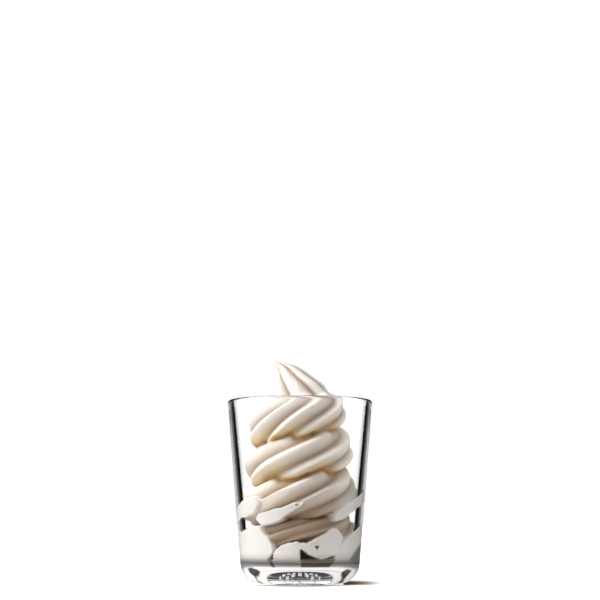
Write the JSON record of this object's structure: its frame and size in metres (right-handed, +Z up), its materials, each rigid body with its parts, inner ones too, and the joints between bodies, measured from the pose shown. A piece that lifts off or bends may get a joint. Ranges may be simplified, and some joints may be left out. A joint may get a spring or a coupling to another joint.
{
  "type": "soft serve sundae in a glass tumbler",
  "caption": "Swirl of white soft serve ice cream in a clear, heavy-based tapered glass, pressed against the wall low down and drawn to a leaning peak above the rim.",
  "frame": {"origin": "centre of the foot ring, on the surface that the glass stands on", "axes": "+Z up along the glass's axis; -Y is the front that the picture shows; the peak leans to -X"},
  "size_m": [0.0768, 0.0768, 0.1164],
  "materials": {
    "clear_glass": "clear polished glass",
    "soft_serve_cream": "soft, slightly moist milk ice"
  },
  "bodies": {
    "root": {"tumbler": "clear_glass", "soft_serve": "soft_serve_cream"}
  },
  "joints": []
}
